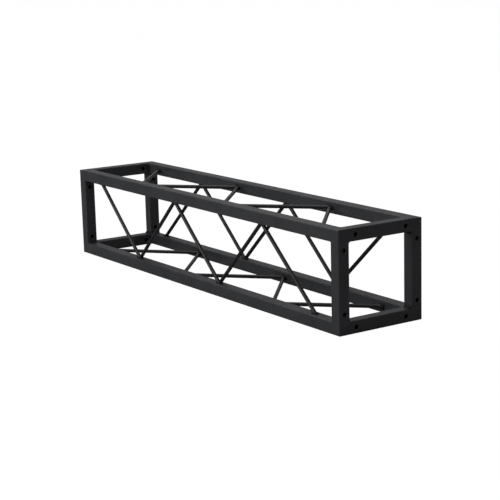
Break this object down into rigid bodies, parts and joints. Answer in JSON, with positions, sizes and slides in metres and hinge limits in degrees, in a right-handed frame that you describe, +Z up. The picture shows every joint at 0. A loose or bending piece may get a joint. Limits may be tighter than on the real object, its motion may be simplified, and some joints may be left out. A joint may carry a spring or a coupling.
{
  "type": "lighting truss section",
  "caption": "Straight square box truss section of black coated steel: square tube chords, zigzag round bar braces and drilled square end frames that bolt to the next section.",
  "frame": {"origin": "centre of the underside, on the plane that the section stands on", "axes": "+X along the truss towards the right end frame, +Y from the front face to the back face, +Z up"},
  "size_m": [1, 0.2, 0.2],
  "materials": {
    "black_powder_coat": "satin fine-textured black powder coat over steel"
  },
  "bodies": {
    "root": {"brace_back_1": "black_powder_coat", "brace_back_2": "black_powder_coat", "brace_back_3": "black_powder_coat", "brace_back_4": "black_powder_coat", "brace_back_5": "black_powder_coat", "brace_back_welds": "black_powder_coat", "brace_bottom_1": "black_powder_coat", "brace_bottom_2": "black_powder_coat", "brace_bottom_3": "black_powder_coat", "brace_bottom_4": "black_powder_coat", "brace_bottom_5": "black_powder_coat", "brace_bottom_welds": "black_powder_coat", "brace_front_1": "black_powder_coat", "brace_front_2": "black_powder_coat", "brace_front_3": "black_powder_coat", "brace_front_4": "black_powder_coat", "brace_front_5": "black_powder_coat", "brace_front_welds": "black_powder_coat", "brace_top_1": "black_powder_coat", "brace_top_2": "black_powder_coat", "brace_top_3": "black_powder_coat", "brace_top_4": "black_powder_coat", "brace_top_5": "black_powder_coat", "brace_top_welds": "black_powder_coat", "chord_bottom_back": "black_powder_coat", "chord_bottom_front": "black_powder_coat", "chord_top_back": "black_powder_coat", "chord_top_front": "black_powder_coat", "left_chord_welds": "black_powder_coat", "left_flush_welds": "black_powder_coat", "left_frame_back_post": "black_powder_coat", "left_frame_bottom_rail": "black_powder_coat", "left_frame_front_post": "black_powder_coat", "left_frame_top_rail": "black_powder_coat", "left_frame_welds": "black_powder_coat", "right_chord_welds": "black_powder_coat", "right_flush_welds": "black_powder_coat", "right_frame_back_post": "black_powder_coat", "right_frame_bottom_rail": "black_powder_coat", "right_frame_front_post": "black_powder_coat", "right_frame_top_rail": "black_powder_coat", "right_frame_welds": "black_powder_coat"}
  },
  "joints": []
}
